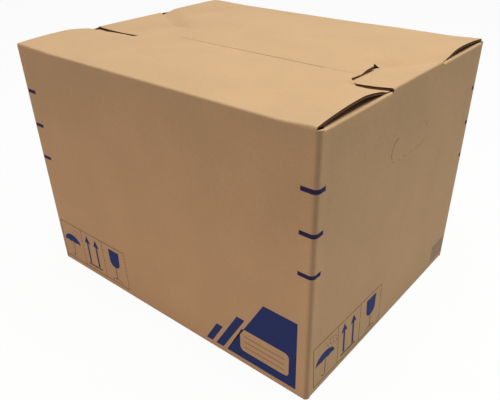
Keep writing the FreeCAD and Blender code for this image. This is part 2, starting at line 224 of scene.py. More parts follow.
floor_mesh = bpy.data.meshes.new("floor")
half = FLOOR_SIZE / 2
corners = [(-half, -half, 0), (half, -half, 0), (half, half, 0), (-half, half, 0)]
floor_mesh.from_pydata(corners, [], [(0, 1, 2, 3)])
floor = bpy.data.objects.new("floor", floor_mesh)
scene.collection.objects.link(floor)
floor_paint = bpy.data.materials.new("floor_paint")
tree, add = new_tree(floor_paint)
matt = add("ShaderNodeBsdfDiffuse")
matt.inputs["Color"].default_value = (*FLOOR_COLOUR, 1)
glow = add("ShaderNodeEmission")
glow.inputs["Strength"].default_value = FLOOR_GLOW
share = add("ShaderNodeMath", operation="MULTIPLY")
share.inputs[1].default_value = FLOOR_WHITE_SHARE
blend = add("ShaderNodeMixShader")
floor_out = add("ShaderNodeOutputMaterial")
tree.links.new(seen_directly(tree, add), share.inputs[0])
tree.links.new(share.outputs[0], blend.inputs[0])
tree.links.new(matt.outputs[0], blend.inputs[1])
tree.links.new(glow.outputs[0], blend.inputs[2])
tree.links.new(blend.outputs[0], floor_out.inputs["Surface"])
floor_mesh.materials.append(floor_paint)
print("floor", FLOOR_SIZE, "m across")

# %% [markdown]
# Kraft paper
#
# Brown kraft is wood fibre pulp. Close up it has short fibres that lie mostly one way, tiny dark
# flecks, and soft clouds where the pulp was thicker. A photograph of paper would give all that
# at once, but it would stretch over bends and show its repeat. Noise at three sizes gives the
# same layers with no repeat, and it runs on over every bend because it reads the place in space.
# The flutes under the outer paper show through as faint ribs. Each vertex stores how far along
# the ribs it is, in an attribute, and a wave made from that number raises the surface a little.
# A second attribute paints shade into the paper along a pressed crease and light beside it.

# %% Kraft paper
KRAFT = (0.600, 0.395, 0.215)
# Cut edges, flutes and inner paper: partly the medium's own darker brown, partly painted shade for
# the shadow in the flutes and under the flaps.
EDGE_BROWN_AND_SHADE = (0.170, 0.090, 0.045)
ACROSS = "across_flutes"
# Point attribute that holds painted shade and painted light along the corner creases.
PAINTED_CREASE_SHADING = "painted_crease_shading"

# Features a metre
CLOUDS = 14
MOTTLE = 170
INK_SPECKS = 900
INK_PATCHES = 60
FLECKS = 620
FIBRES = 1500
FIBRE_STRETCH = (1, 1, 0.35)

# Where in the noise a fleck begins and is whole, and the shade that it leaves
FLECK_FROM, FLECK_WHOLE, FLECK_SHADE = 0.70, 0.78, 0.86
PAPER_SHINE = 0.25
PAPER_GRAIN, PAPER_GRAIN_DEPTH = 0.35, 0.12


def noise(tree, add, source, scale, detail, stretch=(1, 1, 1)):
    """Noise at `scale` features a metre, drawn out along the axes where stretch is small."""
    mapping = add("ShaderNodeMapping")
    mapping.inputs["Scale"].default_value = stretch
    tree.links.new(source, mapping.inputs["Vector"])
    texture = add("ShaderNodeTexNoise")
    texture.inputs["Scale"].default_value = scale
    texture.inputs["Detail"].default_value = detail
    tree.links.new(mapping.outputs[0], texture.inputs["Vector"])
    return texture.outputs["Fac"]


def varied(tree, add, value, low, high):
    """Rescales a noise value, mostly 0.3 to 0.7, to run from low to high."""
    spread = add("ShaderNodeMapRange")
    spread.inputs["From Min"].default_value = 0.3
    spread.inputs["From Max"].default_value = 0.7
    spread.inputs["To Min"].default_value = low
    spread.inputs["To Max"].default_value = high
    tree.links.new(value, spread.inputs["Value"])
    return spread.outputs[0]


def product(tree, add, first, second):
    times = add("ShaderNodeMath", operation="MULTIPLY")
    tree.links.new(first, times.inputs[0])
    tree.links.new(second, times.inputs[1])
    return times.outputs[0]


def flute_wave(tree, add):
    """Ribs that the flutes press into the outer paper, from -1 to 1."""
    across = add("ShaderNodeAttribute", attribute_name=ACROSS)
    turns = add("ShaderNodeMath", operation="MULTIPLY")
    turns.inputs[1].default_value = 2 * math.pi / FLUTE_PITCH
    wave = add("ShaderNodeMath", operation="SINE")
    tree.links.new(across.outputs["Fac"], turns.inputs[0])
    tree.links.new(turns.outputs[0], wave.inputs[0])
    return wave.outputs[0]


def paper(name, colour, cloud, fibre, rib_height, roughness):
    """Paper whose brightness varies by cloud and by fibre, as shares of its colour."""
    material = bpy.data.materials.new(name)
    tree, add = new_tree(material)
    spot = add("ShaderNodeTexCoord").outputs["Object"]
    shade = varied(tree, add, noise(tree, add, spot, CLOUDS, 3), 1 - cloud, 1 + cloud)
    mottle = varied(tree, add, noise(tree, add, spot, MOTTLE, 3), 1 - cloud / 2, 1 + cloud / 2)
    shade = product(tree, add, shade, mottle)
    strands = noise(tree, add, spot, FIBRES, 2, stretch=FIBRE_STRETCH)
    shade = product(tree, add, shade, varied(tree, add, strands, 1 - fibre, 1 + fibre))
    flecks = add("ShaderNodeMapRange")
    flecks.inputs["From Min"].default_value = FLECK_FROM
    flecks.inputs["From Max"].default_value = FLECK_WHOLE
    flecks.inputs["To Min"].default_value = 1.0
    flecks.inputs["To Max"].default_value = FLECK_SHADE
    tree.links.new(noise(tree, add, spot, FLECKS, 1), flecks.inputs["Value"])
    shade = product(tree, add, shade, flecks.outputs[0])
    # Painted shade and painted light, stored per point, scale the paper's colour.
    painted_crease_shading = add("ShaderNodeAttribute", attribute_name=PAINTED_CREASE_SHADING)
    painted_shading_factor = add("ShaderNodeMath", operation="SUBTRACT")
    painted_shading_factor.inputs[0].default_value = 1.0
    tree.links.new(painted_crease_shading.outputs["Fac"], painted_shading_factor.inputs[1])
    shade = product(tree, add, shade, painted_shading_factor.outputs[0])
    tint = add("ShaderNodeVectorMath", operation="SCALE")
    tint.inputs[0].default_value = colour
    tree.links.new(shade, tint.inputs["Scale"])
    surface = add("ShaderNodeBsdfPrincipled")
    surface.inputs["Roughness"].default_value = roughness
    surface.inputs["Specular IOR Level"].default_value = PAPER_SHINE
    tree.links.new(tint.outputs[0], surface.inputs["Base Color"])
    ribs = add("ShaderNodeBump")
    ribs.inputs["Distance"].default_value = rib_height * MM
    tree.links.new(flute_wave(tree, add), ribs.inputs["Height"])
    grain = add("ShaderNodeBump")
    grain.inputs["Strength"].default_value = PAPER_GRAIN
    grain.inputs["Distance"].default_value = PAPER_GRAIN_DEPTH * MM
    tree.links.new(strands, grain.inputs["Height"])
    tree.links.new(ribs.outputs[0], grain.inputs["Normal"])
    tree.links.new(grain.outputs[0], surface.inputs["Normal"])
    out = add("ShaderNodeOutputMaterial")
    tree.links.new(surface.outputs[0], out.inputs["Surface"])
    return material


outer_paper = paper("outer_paper", KRAFT, cloud=0.035, fibre=0.05, rib_height=0.03, roughness=0.78)
# Its dark colour is partly the board's own brown and partly painted shade.
raw_paper_and_shade = paper("raw_paper_and_shade", EDGE_BROWN_AND_SHADE, cloud=0.08, fibre=0.10, rib_height=0.0, roughness=0.9)
print("papers", outer_paper.name, raw_paper_and_shade.name)

# %% [markdown]
# Ink
#
# The blue is pressed on by a rubber plate, so it sinks into the paper, covers it unevenly and
# stays matt. It is modelled as a very thin skin on the board, which keeps its edges crisp at any
# distance. Noise thins the ink in small spots, where the brown comes through.

# %% Ink
INDIGO = (0.014, 0.033, 0.150)
LINE_INK = (0.060, 0.040, 0.060)
MARK_INK = (0.014, 0.014, 0.070)
INK_ROUGHNESS = 0.7
INK_SHINE = 0.12
INK_GRAIN, INK_GRAIN_DEPTH = 0.3, 0.1


def ink(name, colour, thin_spots):
    """Matt ink; thin_spots is the share of brown that comes through at most."""
    material = bpy.data.materials.new(name)
    tree, add = new_tree(material)
    spot = add("ShaderNodeTexCoord").outputs["Object"]
    specks = varied(tree, add, noise(tree, add, spot, INK_SPECKS, 3), 0, thin_spots)
    patches = varied(tree, add, noise(tree, add, spot, INK_PATCHES, 2), 0.4, 1)
    cover = product(tree, add, specks, patches)
    mix = add("ShaderNodeMix", data_type="RGBA")
    mix.inputs["A"].default_value = (*colour, 1)
    mix.inputs["B"].default_value = (*KRAFT, 1)
    tree.links.new(cover, mix.inputs["Factor"])
    surface = add("ShaderNodeBsdfPrincipled")
    surface.inputs["Roughness"].default_value = INK_ROUGHNESS
    surface.inputs["Specular IOR Level"].default_value = INK_SHINE
    tree.links.new(mix.outputs["Result"], surface.inputs["Base Color"])
    grain = add("ShaderNodeBump")
    grain.inputs["Strength"].default_value = INK_GRAIN
    grain.inputs["Distance"].default_value = INK_GRAIN_DEPTH * MM
    strands = noise(tree, add, spot, FIBRES, 2, stretch=FIBRE_STRETCH)
    tree.links.new(strands, grain.inputs["Height"])
    tree.links.new(grain.outputs[0], surface.inputs["Normal"])
    out = add("ShaderNodeOutputMaterial")
    tree.links.new(surface.outputs[0], out.inputs["Surface"])
    return material


solid_ink = ink("solid_ink", INDIGO, thin_spots=0.03)
mark_ink = ink("mark_ink", MARK_INK, thin_spots=0.05)
line_ink = ink("line_ink", LINE_INK, thin_spots=0.35)
print("inks", solid_ink.name, mark_ink.name, line_ink.name)

# %% [markdown]
# Drawing a panel flat
#
# A flap is first a flat outline, as on the cutting die: `along` its hinge and `out` from it. The
# outline is one many-sided face. Straight cuts through it give the grid that lets it bend, and
# they also keep the outline exact, which a grid of squares clipped afterwards would not. The cuts
# across the hinge come first, while the face is still one piece.

# %% Flat patterns
def evenly(start, stop, step):
    """Cut lines about step apart between start and stop, without the ends."""
    count = max(2, round((stop - start) / step))
    return [start + (stop - start) * i / count for i in range(1, count)]


def flat_pattern(outline, along_cuts, out_cuts):
    """Flat mesh of the outline with straight cuts at the given distances."""
    pattern = bmesh.new()
    pattern.faces.new([pattern.verts.new((along, out, 0)) for along, out in outline])
    for direction, cuts in ((Vector((1, 0, 0)), along_cuts), (Vector((0, 1, 0)), out_cuts)):
        for cut in cuts:
            everything = pattern.verts[:] + pattern.edges[:] + pattern.faces[:]
            bmesh.ops.bisect_plane(
                pattern, geom=everything, dist=1e-4, plane_co=direction * cut, plane_no=direction
            )
    pattern.verts.index_update()
    return pattern


def circle_arc(centre_x, centre_y, radius_x, radius_y, start, stop, steps_count=16):
    """Points of an ellipse's arc; angles in degrees."""
    points = []
    for i in range(steps_count + 1):
        angle = math.radians(start + (stop - start) * i / steps_count)
        points.append((centre_x + radius_x * math.cos(angle), centre_y + radius_y * math.sin(angle)))
    return points


def stroke(points, width):
    """Outline of a line of even width through the points."""
    left, right = [], []
    for index, (x, y) in enumerate(points):
        before = Vector(points[max(index - 1, 0)])
        after = Vector(points[min(index + 1, len(points) - 1)])
        way = (after - before).normalized()
        side = Vector((-way.y, way.x)) * width / 2
        left.append((x + side.x, y + side.y))
        right.append((x - side.x, y - side.y))
    return left + right[::-1]


def bar(x0, y0, x1, y1):
    """Upright rectangle between two corners."""
    return [(x0, y0), (x1, y0), (x1, y1), (x0, y1)]


def cut_out(pattern, outline_edges, holes):
    """Fills between an outline and the holes inside it with triangles."""
    edges = list(outline_edges)
    for hole in holes:
        ring = [pattern.verts.new((x, y, 0)) for x, y in hole]
        edges += [pattern.edges.new((ring[i - 1], ring[i])) for i in range(len(ring))]
    bmesh.ops.triangle_fill(pattern, use_beauty=True, use_dissolve=False, edges=edges)
    pattern.verts.index_update()


def cut_holes(pattern, at, holes):
    """Cuts holes into the face of a flat pattern that lies around `at` along it."""
    for face in pattern.faces[:]:
        spread = [vert.co.x for vert in face.verts]
        if min(spread) < at < max(spread):
            edges = list(face.edges)
            bmesh.ops.delete(pattern, geom=[face], context="FACES_ONLY")
            cut_out(pattern, edges, holes)
            return


print("a 100 mm panel has cuts at", evenly(0, 100, 25))


# %% [markdown]
# From flat paper to closed sheets
#
# Each paper of the board is a sheet with two faces and a thin edge all round, so that the meshes
# stay closed and could be printed. `Sheets` collects such papers. It bends the same flat pattern
# twice, once for the outer face and once for the inner one, and then closes the rim between them.

# %% Sheets
class Sheets:
    """Papers that together make one piece of the carton."""

    def __init__(self):
        self.points = []
        self.faces = []
        self.looks = []
        self.across = []
        self.painted_crease_shading = []

    def add(
        self, pattern, bend, outer, inner, outer_look=0, inner_look=1, edge_look=1, painted_shading=None
    ):
        """Bends a pattern; outer and inner give the depth of the paper's two faces."""
        start = len(self.points)
        count = len(pattern.verts)
        for depth in (outer, inner):
            for vert in pattern.verts:
                along, out = vert.co.x, vert.co.y
                self.points.append(bend(along, out, depth(along)))
                self.across.append(along)
                # Per point painted shade and light, which the paper's colour takes up.
                self.painted_crease_shading.append(painted_shading(along) if painted_shading else 0.0)
        for face in pattern.faces:
            ring = [start + vert.index for vert in face.verts]
            self.faces.append(ring)
            self.looks.append(outer_look)
            self.faces.append([index + count for index in reversed(ring)])
            self.looks.append(inner_look)
        for edge in pattern.edges:
            if edge.is_boundary:
                first, second = (start + vert.index for vert in edge.verts)
                self.faces.append([first, second, second + count, first + count])
                way = edge.verts[1].co - edge.verts[0].co
                fluted = abs(way.y) < 0.1 * abs(way.x)
                self.looks.append(outer_look if fluted else edge_look)

    def finish(self, name, materials, smooth_angle=40):
        """Mesh object of all the papers, which rides on the carton."""
        mesh = bpy.data.meshes.new(name)
        mesh.from_pydata(self.points, [], self.faces)
        mesh.polygons.foreach_set("material_index", self.looks)
        for label, values in ((ACROSS, self.across), (PAINTED_CREASE_SHADING, self.painted_crease_shading)):
            stored = mesh.attributes.new(label, "FLOAT", "POINT")
            stored.data.foreach_set("value", values)
        turned = bmesh.new()
        turned.from_mesh(mesh)
        bmesh.ops.recalc_face_normals(turned, faces=turned.faces[:])
        turned.to_mesh(mesh)
        turned.free()
        for material in materials:
            mesh.materials.append(material)
        mesh.shade_smooth()
        mesh.set_sharp_from_angle(angle=math.radians(smooth_angle))
        piece = bpy.data.objects.new(name, mesh)
        scene.collection.objects.link(piece)
        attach(piece, "root")
        return piece


print("points of a sheet carry", ACROSS, "and", PAINTED_CREASE_SHADING)


# %% [markdown]
# Bending a flap
#
# A crease in board is a quarter-round bend, not a sharp line, because the inner paper crushes and
# the outer one stretches over it. `folded` bends a flat flap that way: a short strip that still
# lies on the wall, then the bend, then the flap, whose height over the crease comes from a
# function of its own. The strip on the wall makes the light run on smoothly past the bend. The
# board loses about a third of its thickness in the crease and gets it back within 6 mm.

# %% The bend
WALL_STRIP = 2.0
CRUSHED = 0.64
SPRING_BACK = 6.0
HINGES = {
    "front": (Vector((0, 0)), Vector((1, 0)), Vector((0, 1))),
    "back": (Vector((0, WIDTH)), Vector((1, 0)), Vector((0, -1))),
    "left": (Vector((0, 0)), Vector((0, 1)), Vector((1, 0))),
    "right": (Vector((LENGTH, 0)), Vector((0, 1)), Vector((-1, 0))),
}


def soft_step(value):
    """Smooth rise from 0 to 1 while the value goes from 0 to 1."""
    value = min(max(value, 0.0), 1.0)
    return value * value * (3 - 2 * value)


def thickness_left(out):
    """Share of the board's thickness that is left near a crease, where the flutes are crushed."""
    if out < 0:
        return CRUSHED + (1 - CRUSHED) * soft_step(-out / WALL_STRIP)
    return CRUSHED + (1 - CRUSHED) * soft_step((out - FOLD_LENGTH) / SPRING_BACK)


def flat(along, inward):
    """Height of a flap that stays level with its crease."""
    return 0.0


def whole(along, inward):
    """Share of the thickness left in a flap that nothing has pressed."""
    return 1.0


def folded(side, level, rise=flat, upward=1, squeeze=whole):
    """Bend for a flap on one wall; level is the height of its crease, upward -1 is the bottom."""
    origin, hinge_way, inward_way = HINGES[side]

    def bend(along, out, deep):
        deep *= thickness_left(out)
        if out < 0:
            inward, lift = deep, out - FOLD_RADIUS
        elif out < FOLD_LENGTH:
            angle = out / FOLD_RADIUS
            radius = FOLD_RADIUS - deep
            inward = FOLD_RADIUS - radius * math.cos(angle)
            lift = radius * math.sin(angle) - FOLD_RADIUS
            lift += rise(along, FOLD_RADIUS) * math.sin(angle)
        else:
            inward = FOLD_RADIUS + out - FOLD_LENGTH
            lift = rise(along, inward) - deep * squeeze(along, inward)
        plan = origin + hinge_way * along + inward_way * inward
        return place(plan.x, plan.y, level + upward * lift)

    return bend


print("a crease keeps", round(thickness_left(0) * BOARD, 2), "mm of", BOARD, "mm")


# %% [markdown]
# Corrugated board
#
# The middle paper is a wave that runs along the hinge, glued to a smooth paper above and below.
# Only its cut edges are ever seen, but there it matters most, because the row of small dark
# openings is what tells board from card. A picture of the edge would do from far away. Here the
# wave is real geometry, so the edges stay right from every side.

# %% A flap of board
BEND_CUTS = 6
WAVE_STEPS = 6
WAVE_SWING = (BOARD - 3 * PAPER) / 2


def flute_depth(along):
    """Depth of the wavy paper's upper face in the board."""
    return BOARD / 2 - PAPER / 2 + WAVE_SWING * math.sin(2 * math.pi * along / FLUTE_PITCH)


def board_flap(
    name, side, outline, level, rise=flat, upward=1, grid=6.0, squeeze=whole, fine_cuts=()
):
    """Flap of corrugated board; the outline gives along the hinge and in from the wall's face.

    The liners are cut every `grid` mm, and once more at each of the fine cuts in from the wall.
    """
    sheets = Sheets()
    bend = folded(side, level, rise, upward, squeeze)
    in_plan = [(along, inward - FOLD_RADIUS + FOLD_LENGTH) for along, inward in outline]
    first, last = outline[0][0], outline[-1][0]
    ends = [along for along, _ in outline]
    reach = max(out for _, out in in_plan)
    bend_cuts = [FOLD_LENGTH * i / BEND_CUTS for i in range(BEND_CUTS + 1)]
    extra_cuts = [inward - FOLD_RADIUS + FOLD_LENGTH for inward in fine_cuts]
    liner = flat_pattern(
        [(first, -WALL_STRIP)] + in_plan + [(last, -WALL_STRIP)],
        evenly(min(ends), max(ends), grid),
        bend_cuts + evenly(FOLD_LENGTH, reach, grid) + extra_cuts,
    )
    sheets.add(liner, bend, lambda along: 0.0, lambda along: PAPER)
    sheets.add(liner, bend, lambda along: BOARD - PAPER, lambda along: BOARD, outer_look=1)
    flutes = flat_pattern(
        [(first, 0.0)] + in_plan + [(last, 0.0)],
        evenly(min(ends), max(ends), FLUTE_PITCH / WAVE_STEPS),
        bend_cuts[::2] + evenly(FOLD_LENGTH, reach, 2 * grid) + extra_cuts,
    )
    sheets.add(flutes, bend, flute_depth, lambda along: flute_depth(along) + PAPER, outer_look=1)
    liner.free()
    flutes.free()
    piece = sheets.finish(name, [outer_paper, raw_paper_and_shade])
    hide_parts("carton")
    return piece


print("flutes every", FLUTE_PITCH, "mm, swinging", round(WAVE_SWING, 2), "mm")


# %% [markdown]
# How the lid rises
#
# The flaps were pushed down over two springy end flaps and then let go, so the lid is not flat.
# In the middle each long flap is a shallow arch. At its ends it is lifted by the wing under it,
# which leaves a hump beside each corner. Between the humps a tongue comes in from the end panel.
# It crosses the front flap's notch and the back flap's edge, and then dives under both through a
# slot. Board is stiff, so it presses the flaps down beside it. All these are height curves over
# the crease, joined by soft steps.

# %% Places on the lid
FLAP_INSET = 4.2
SEAM = 164.0
TONGUE_FRONT = 139.0
TONGUE_ROOT = 127.5
TONGUE_BACK = TONGUE_FRONT + TONGUE_ROOT
NECK_BACK = TONGUE_FRONT + 66.0
SLOT = {"left": 105.0, "right": 55.0}
TIP = 44.0
LAP_TAPER = 20.0
LAP_LEVEL = BOARD + SHEET_GAP


def inward_from(side, u):
    """Distance in from an end panel's face."""
    return u if side == "left" else LENGTH - u


def arch(crown, part):
    """Height of a shallow arch; part runs from 0 to 1 over its span."""
    return crown * 4 * part * (1 - part)


print("seam", SEAM, "mm and tongues", TONGUE_FRONT, "to", TONGUE_BACK, "mm from the front")

# %% [markdown]
# Humps over the wings
#
# Each hump has a height at the crease, a crown some way in, and a reach at which it is level with
# the crease again. Towards the middle of the lid it fades into the plain arch.

# %% Humps
END_ZONE = {"left": 88.0, "right": 46.0}
HUMP_FALL = 1.4
HUMP_FLOOR = -2.0
HUMPS = {
    ("front", "left"): {"lift": 1.5, "crown": 4.7, "peak": 80.0, "reach": 119.0},
    ("front", "right"): {"lift": 2.2, "crown": 8.3, "peak": 82.0, "reach": 132.0},
    ("back", "left"): {"lift": 0.3, "crown": 0.5, "peak": 60.0, "reach": 131.0},
    ("back", "right"): {"lift": 1.5, "crown": 6.1, "peak": 75.0, "reach": 135.0},
}


def hump(flap, side, distance):
    """Height of a long flap's end, rising over the wing and falling to the tongue."""
    shape = HUMPS[(flap, side)]
    lift, crown, peak, reach = shape["lift"], shape["crown"], shape["peak"], shape["reach"]
    if distance < peak:
        return crown - (crown - lift) * (1 - distance / peak) ** 2
    return max(crown * (1 - ((distance - peak) / (reach - peak)) ** HUMP_FALL), HUMP_FLOOR)


def with_humps(flap, u, distance, middle):
    """Height in the middle of the lid, changed to the humps in the end zones."""
    height = middle
    for side, zone in END_ZONE.items():
        share = soft_step(1 - (inward_from(side, u) - FLAP_INSET) / zone)
        height += (hump(flap, side, distance) - middle) * share
    return height


print("highest hump", max(shape["crown"] for shape in HUMPS.values()), "mm")

# %% [markdown]
# How the tongues run
#
# A tongue starts at its own crease, which stands a little higher or lower than the others. It
# then slopes down to its slot with a slight sag and drops away behind it, so its tip is hidden.

# %% Height of the tongues
TONGUE_LIFT = {"left": -1.2, "right": 2.0}
TONGUE_SAG = {"left": 2.0, "right": 0.8}
DIVE = {"left": 0.6, "right": 2.0}
TIP_DROP = 2.0
TIP_DROP_RUN = 8.0


def tongue_height(side, distance):
    """Height of a tongue, `distance` in from its end panel."""
    start = TONGUE_LIFT[side]
    part = min(max((distance - FOLD_RADIUS) / (SLOT[side] - FOLD_RADIUS), 0), 1)
    tip = TIP_DROP * soft_step((distance - SLOT[side]) / TIP_DROP_RUN)
    return start - (start + DIVE[side]) * part - arch(TONGUE_SAG[side], part) - tip


print("right tongue dives", DIVE["right"] + TIP_DROP, "mm below the crease")

# %% [markdown]
# The seam
#
# The cut edge of the back flap was pressed while the box was closed, so the board is thinner
# there, most of all towards the left, where the seam almost disappears.

# %% Pressed seam
SEAM_STEP = 0.15
SEAM_DIP = 0.8
SEAM_TIGHT = 0.08
SEAM_OPENING = 0.14
SEAM_OPENS_AT = 160.0
SEAM_OPENS_OVER = 160.0
SEAM_RECOVERY = 9.0


def seam_opens(u):
    """0 at the left part of the seam, 1 at its right part."""
    return soft_step((u - SEAM_OPENS_AT) / SEAM_OPENS_OVER)


def seam_squeeze(u, v):
    """Share of the back flap's thickness that is left along its pressed edge."""
    least = SEAM_TIGHT + SEAM_OPENING * seam_opens(u)
    return least + (1 - least) * soft_step((v - SEAM) / SEAM_RECOVERY)


print("seam keeps", round(seam_squeeze(LENGTH, SEAM) * BOARD, 2), "mm of board at the right")

# %% [markdown]
# The back flap
#
# It arches least of all, because both tongue roots lie on it and hold it down. The pressed region
# ends along a slanting line, the tongue's rear edge, and fades out over a hand's breadth. At the
# right slot the opposite happens: the edge was pushed up when the tongue went in.

# %% Height of the back flap
BACK_CROWN = 2.2
BACK_SAG = 1.4
BACK_SAG_END = 390.0
BACK_SAG_RUN = 120.0
BACK_SAG_RISE = 1.4
PRESS_FADE = 30.0
NECK_EASE = 4.0
NECK_RUN = 14.0
SLOT_LIP = 1.9
LIP_REACH = 26.0
LIP_RUN = 10.0
SEAM_LIP_START = 16.0
SEAM_LIP_RUN = 14.0


def lifted_lip(inward, v, share):
    """Height of the back flap's edge that stands up beside the right slot."""
    beside = soft_step(1 - abs(inward - SLOT["right"]) / LIP_REACH)
    lip = SLOT_LIP * beside * soft_step((NECK_BACK + NECK_RUN - v) / LIP_RUN) * (1 - share)
    return lip - SLOT_LIP * beside * soft_step((SEAM + SEAM_LIP_START - v) / SEAM_LIP_RUN)


def back_height(u, v):
    """Height of the back flap, pressed down where a tongue's root lies on it."""
    part = min(max((v - SEAM) / (WIDTH - FOLD_RADIUS - SEAM), 0), 1)
    middle = SEAM_STEP * seam_opens(u) * (1 - part) + arch(BACK_CROWN, part)
    sag = soft_step((BACK_SAG_END - u) / BACK_SAG_RUN) * soft_step(BACK_SAG_RISE * part)
    height = with_humps("back", u, WIDTH - v, middle - BACK_SAG * sag)
    for side in ("left", "right"):
        inward = inward_from(side, u)
        run, rise = SLOT[side] - FOLD_RADIUS, TONGUE_BACK - NECK_BACK
        beyond = ((inward - SLOT[side]) * rise + (v - NECK_BACK) * run) / math.hypot(run, rise)
        share = soft_step(1 - beyond / PRESS_FADE)
        share *= soft_step((v - (NECK_BACK - NECK_EASE)) / NECK_RUN)
        under = tongue_height(side, min(inward, SLOT[side])) - LAP_LEVEL
        height += (min(under, height) - height) * share
        if side == "right":
            height += lifted_lip(inward, v, share)
    return height


print("back flap", round(back_height(LENGTH / 2, WIDTH * 0.7), 1), "mm up in its middle")

# %% [markdown]
# The front flap
#
# It has the highest hump of all at its right end. Beside each tongue it is pushed below the
# tongue's surface, which is why the tongue's cut edge shows. Past the seam it becomes the tab
# under the back flap, so there its height is the back flap's less the board between them.

# %% Height of the front flap
FRONT_CROWN = 3.0
PROUD = {"left": 3.8, "right": 3.2}
PRESS_REACH = 20.0
PRESS_END = {"left": 4.0, "right": 12.0}


def front_height(u, v):
    """Height of the front flap, pressed beside the tongues, its tab under the back flap."""
    middle = arch(FRONT_CROWN, (min(v, SEAM) - FOLD_RADIUS) / (SEAM - FOLD_RADIUS))
    height = with_humps("front", u, v, middle)
    for side in ("left", "right"):
        inward = inward_from(side, u)
        beside = soft_step((v - (TONGUE_FRONT - PRESS_REACH)) / PRESS_REACH)
        share = beside * soft_step((SLOT[side] - inward) / PRESS_END[side])
        pressed = tongue_height(side, inward) - PROUD[side]
        height += (pressed - height) * share
    tab_reach = min(inward_from(side, u) - SLOT[side] - TIP for side in SLOT)
    share = soft_step((v - SEAM) / SEAM_DIP + 1) * soft_step(tab_reach / LAP_TAPER)
    tab = back_height(u, max(v, SEAM)) - BOARD * seam_squeeze(u, v) - SHEET_GAP
    return height + (tab - height) * share


print("front flap", round(front_height(LENGTH / 2, SEAM / 2), 1), "mm up in its middle")

# %% [markdown]
# The two long flaps
#
# A tab on the front flap reaches past the seam, and the back flap lies on it. Each outline follows
# the die once round, with distances along the hinge and in from the wall. The tongue's front
# corner is rounded, and the front flap's notch follows it. Where the slots end, the board has
# torn open a little.

# %% Edges beside the tongues
TONGUE_ROUND = {"left": 4.0, "right": 10.0}
LID_GRID = 3.6

slot_left, slot_right = SLOT["left"], LENGTH - SLOT["right"]
flap_left, flap_right = FLAP_INSET, LENGTH - FLAP_INSET
notch = TONGUE_FRONT - SHEET_GAP


def rounded_corner(side):
    """Steps from a tongue's front corner: out to the end panel, and on to the seam."""
    size = TONGUE_ROUND[side]
    return [(size, 0.0), (0.35 * size, 0.2 * size), (0.0, 0.5 * size)]


print("slots at", slot_left, "and", round(slot_right, 1), "mm from the left")

# %% Front flap
LAP_DEPTH = 38.0
lap_left = slot_left + TIP + LAP_TAPER
lap_right = slot_right - TIP - LAP_TAPER

front_flap = board_flap(
    "top_flap_front",
    "front",
    [(flap_left, FOLD_RADIUS), (flap_left, notch)]
    + [(slot_left - out, notch + on) for out, on in rounded_corner("left")]
    + [
        (slot_left, SEAM),
        (lap_left - LAP_TAPER / 2, SEAM),
        (lap_left, SEAM + LAP_DEPTH),
        (lap_right, SEAM + LAP_DEPTH),
        (lap_right + LAP_TAPER / 2, SEAM),
        (slot_right, SEAM),
    ]
    + [(slot_right + out, notch + on) for out, on in reversed(rounded_corner("right"))]
    + [(flap_right, notch), (flap_right, FOLD_RADIUS)],
    HEIGHT,
    front_height,
    grid=LID_GRID,
    fine_cuts=[SEAM - 0.8, SEAM - 0.4, SEAM],
)
print("front flap", len(front_flap.data.polygons), "faces")

# %% Back flap
SLOT_END = 6.0
# Torn ends of the slots: steps along the hinge from the slot, and in from the tongue's neck
TORN_LEFT = ((1.5, -2.5), (2.5, 0.0), (0.0, 4.0))
TORN_RIGHT = ((0.0, 11.0), (-3.0, 7.0), (-3.6, 0.0), (-2.4, -5.0), (2.0, -7.5), (4.0, -5.5))
neck = WIDTH - NECK_BACK
seam_edge = WIDTH - SEAM


def back_rise(u, inward):
    """Height of the back flap, as its own bend asks for it."""
    return back_height(u, WIDTH - inward)


def back_squeeze(u, inward):
    """Thickness left in the back flap, as its own bend asks for it."""
    return seam_squeeze(u, WIDTH - inward)


back_flap = board_flap(
    "top_flap_back",
    "back",
    [
        (flap_left, FOLD_RADIUS),
        (flap_left, neck - 2 * SLOT_END),
        (slot_left - SLOT_END, neck - SLOT_END),
    ]
    + [(slot_left + along, neck + inward) for along, inward in TORN_LEFT]
    + [(slot_left, seam_edge), (slot_right, seam_edge)]
    + [(slot_right + along, neck + inward) for along, inward in TORN_RIGHT]
    + [
        (slot_right + 2 * SLOT_END, neck - SLOT_END),
        (flap_right, neck - 2 * SLOT_END),
        (flap_right, FOLD_RADIUS),
    ],
    HEIGHT,
    back_rise,
    grid=LID_GRID,
    squeeze=back_squeeze,
    fine_cuts=[seam_edge - 4.0, seam_edge - 2.0, seam_edge - 1.0],
)
print("back flap", len(back_flap.data.polygons), "faces")

# %% [markdown]
# Tongues and wings
#
# Each end panel carries one short flap that is slit into three. The middle part is the tongue that
# locks the lid. The two outer parts are wings that went down first and lie under everything. The
# outer ends of the long flaps stand open over them, so the dark room inside shows there. That is
# why the wings are real flaps with a slope of their own, and not a dark strip.

# %% Tongues
TIP_TAPER = 10.0


def tongue_rise(side):
    """Height over the tongue's own crease, which stands TONGUE_LIFT above the others."""

    def rise(v, inward):
        return tongue_height(side, inward) - TONGUE_LIFT[side]

    return rise


def tongue(side):
    """Tongue of one end panel, over the long flaps at its root and under them at its tip."""
    reach = SLOT[side]
    board_flap(
        "top_tongue_" + side,
        side,
        [(TONGUE_FRONT, FOLD_RADIUS)]
        + [(TONGUE_FRONT + on, reach - out) for out, on in rounded_corner(side)]
        + [
            (TONGUE_FRONT + TIP_TAPER, reach + TIP),
            (NECK_BACK - TIP_TAPER, reach + TIP),
            (NECK_BACK - SHEET_GAP, reach),
            (TONGUE_BACK, FOLD_RADIUS),
        ],
        HEIGHT + TONGUE_LIFT[side],
        tongue_rise(side),
        grid=LID_GRID,
    )


print("tongues", TONGUE_ROOT, "mm wide at the root")

